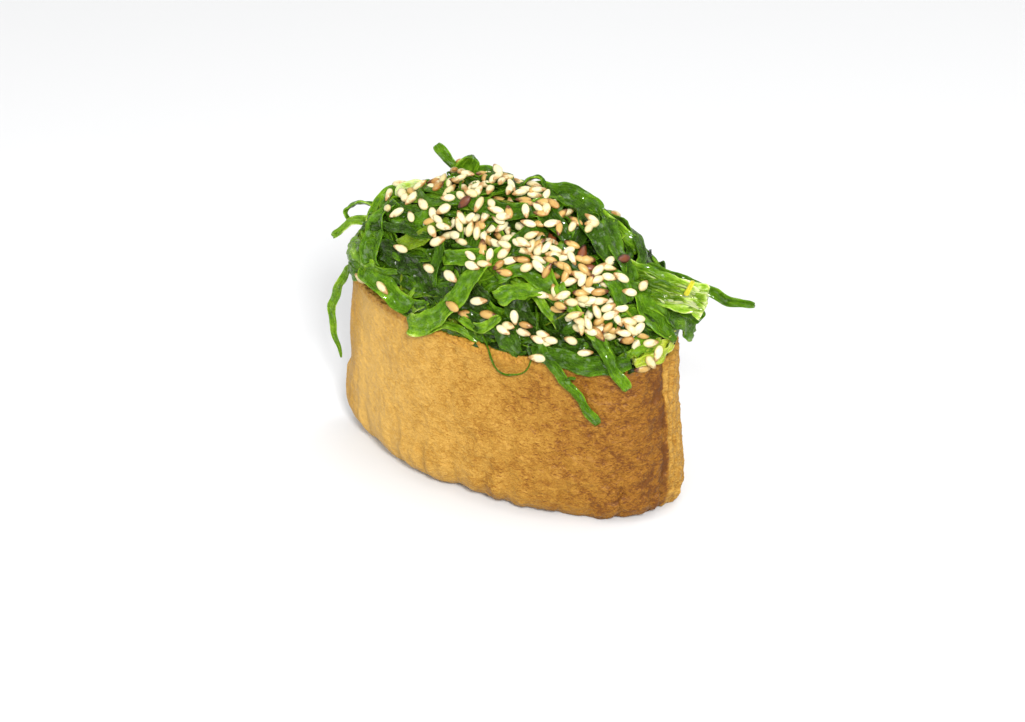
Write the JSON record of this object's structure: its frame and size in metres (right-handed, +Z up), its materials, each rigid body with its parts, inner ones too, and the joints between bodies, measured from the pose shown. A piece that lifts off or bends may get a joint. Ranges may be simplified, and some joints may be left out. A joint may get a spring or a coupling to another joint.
{
  "type": "inari sushi",
  "caption": "Boat-shaped pouch of fried tofu, open at the top and heaped with glossy green seaweed salad and sesame seeds.",
  "frame": {"origin": "middle of the pouch's flat foot, on the surface that it rests on", "axes": "+Z up out of the opening, +X along the pouch from its pointed end to its blunt end, -Y to the side over which the long shreds hang"},
  "size_m": [0.0823, 0.0323, 0.0595],
  "materials": {
    "fried_tofu": "golden-brown fried bean curd: soft, matt to satin, finely pitted, paler at the pointed end",
    "seaweed": "wet, glossy shredded seaweed from dark to bright green, pale yellow-green at the cut stems",
    "sesame": "roasted sesame seeds, cream with some toasted brown and a few dark ones"
  },
  "bodies": {
    "root": {"tofu_pouch": "fried_tofu", "seaweed_salad": "seaweed"}
  },
  "joints": []
}
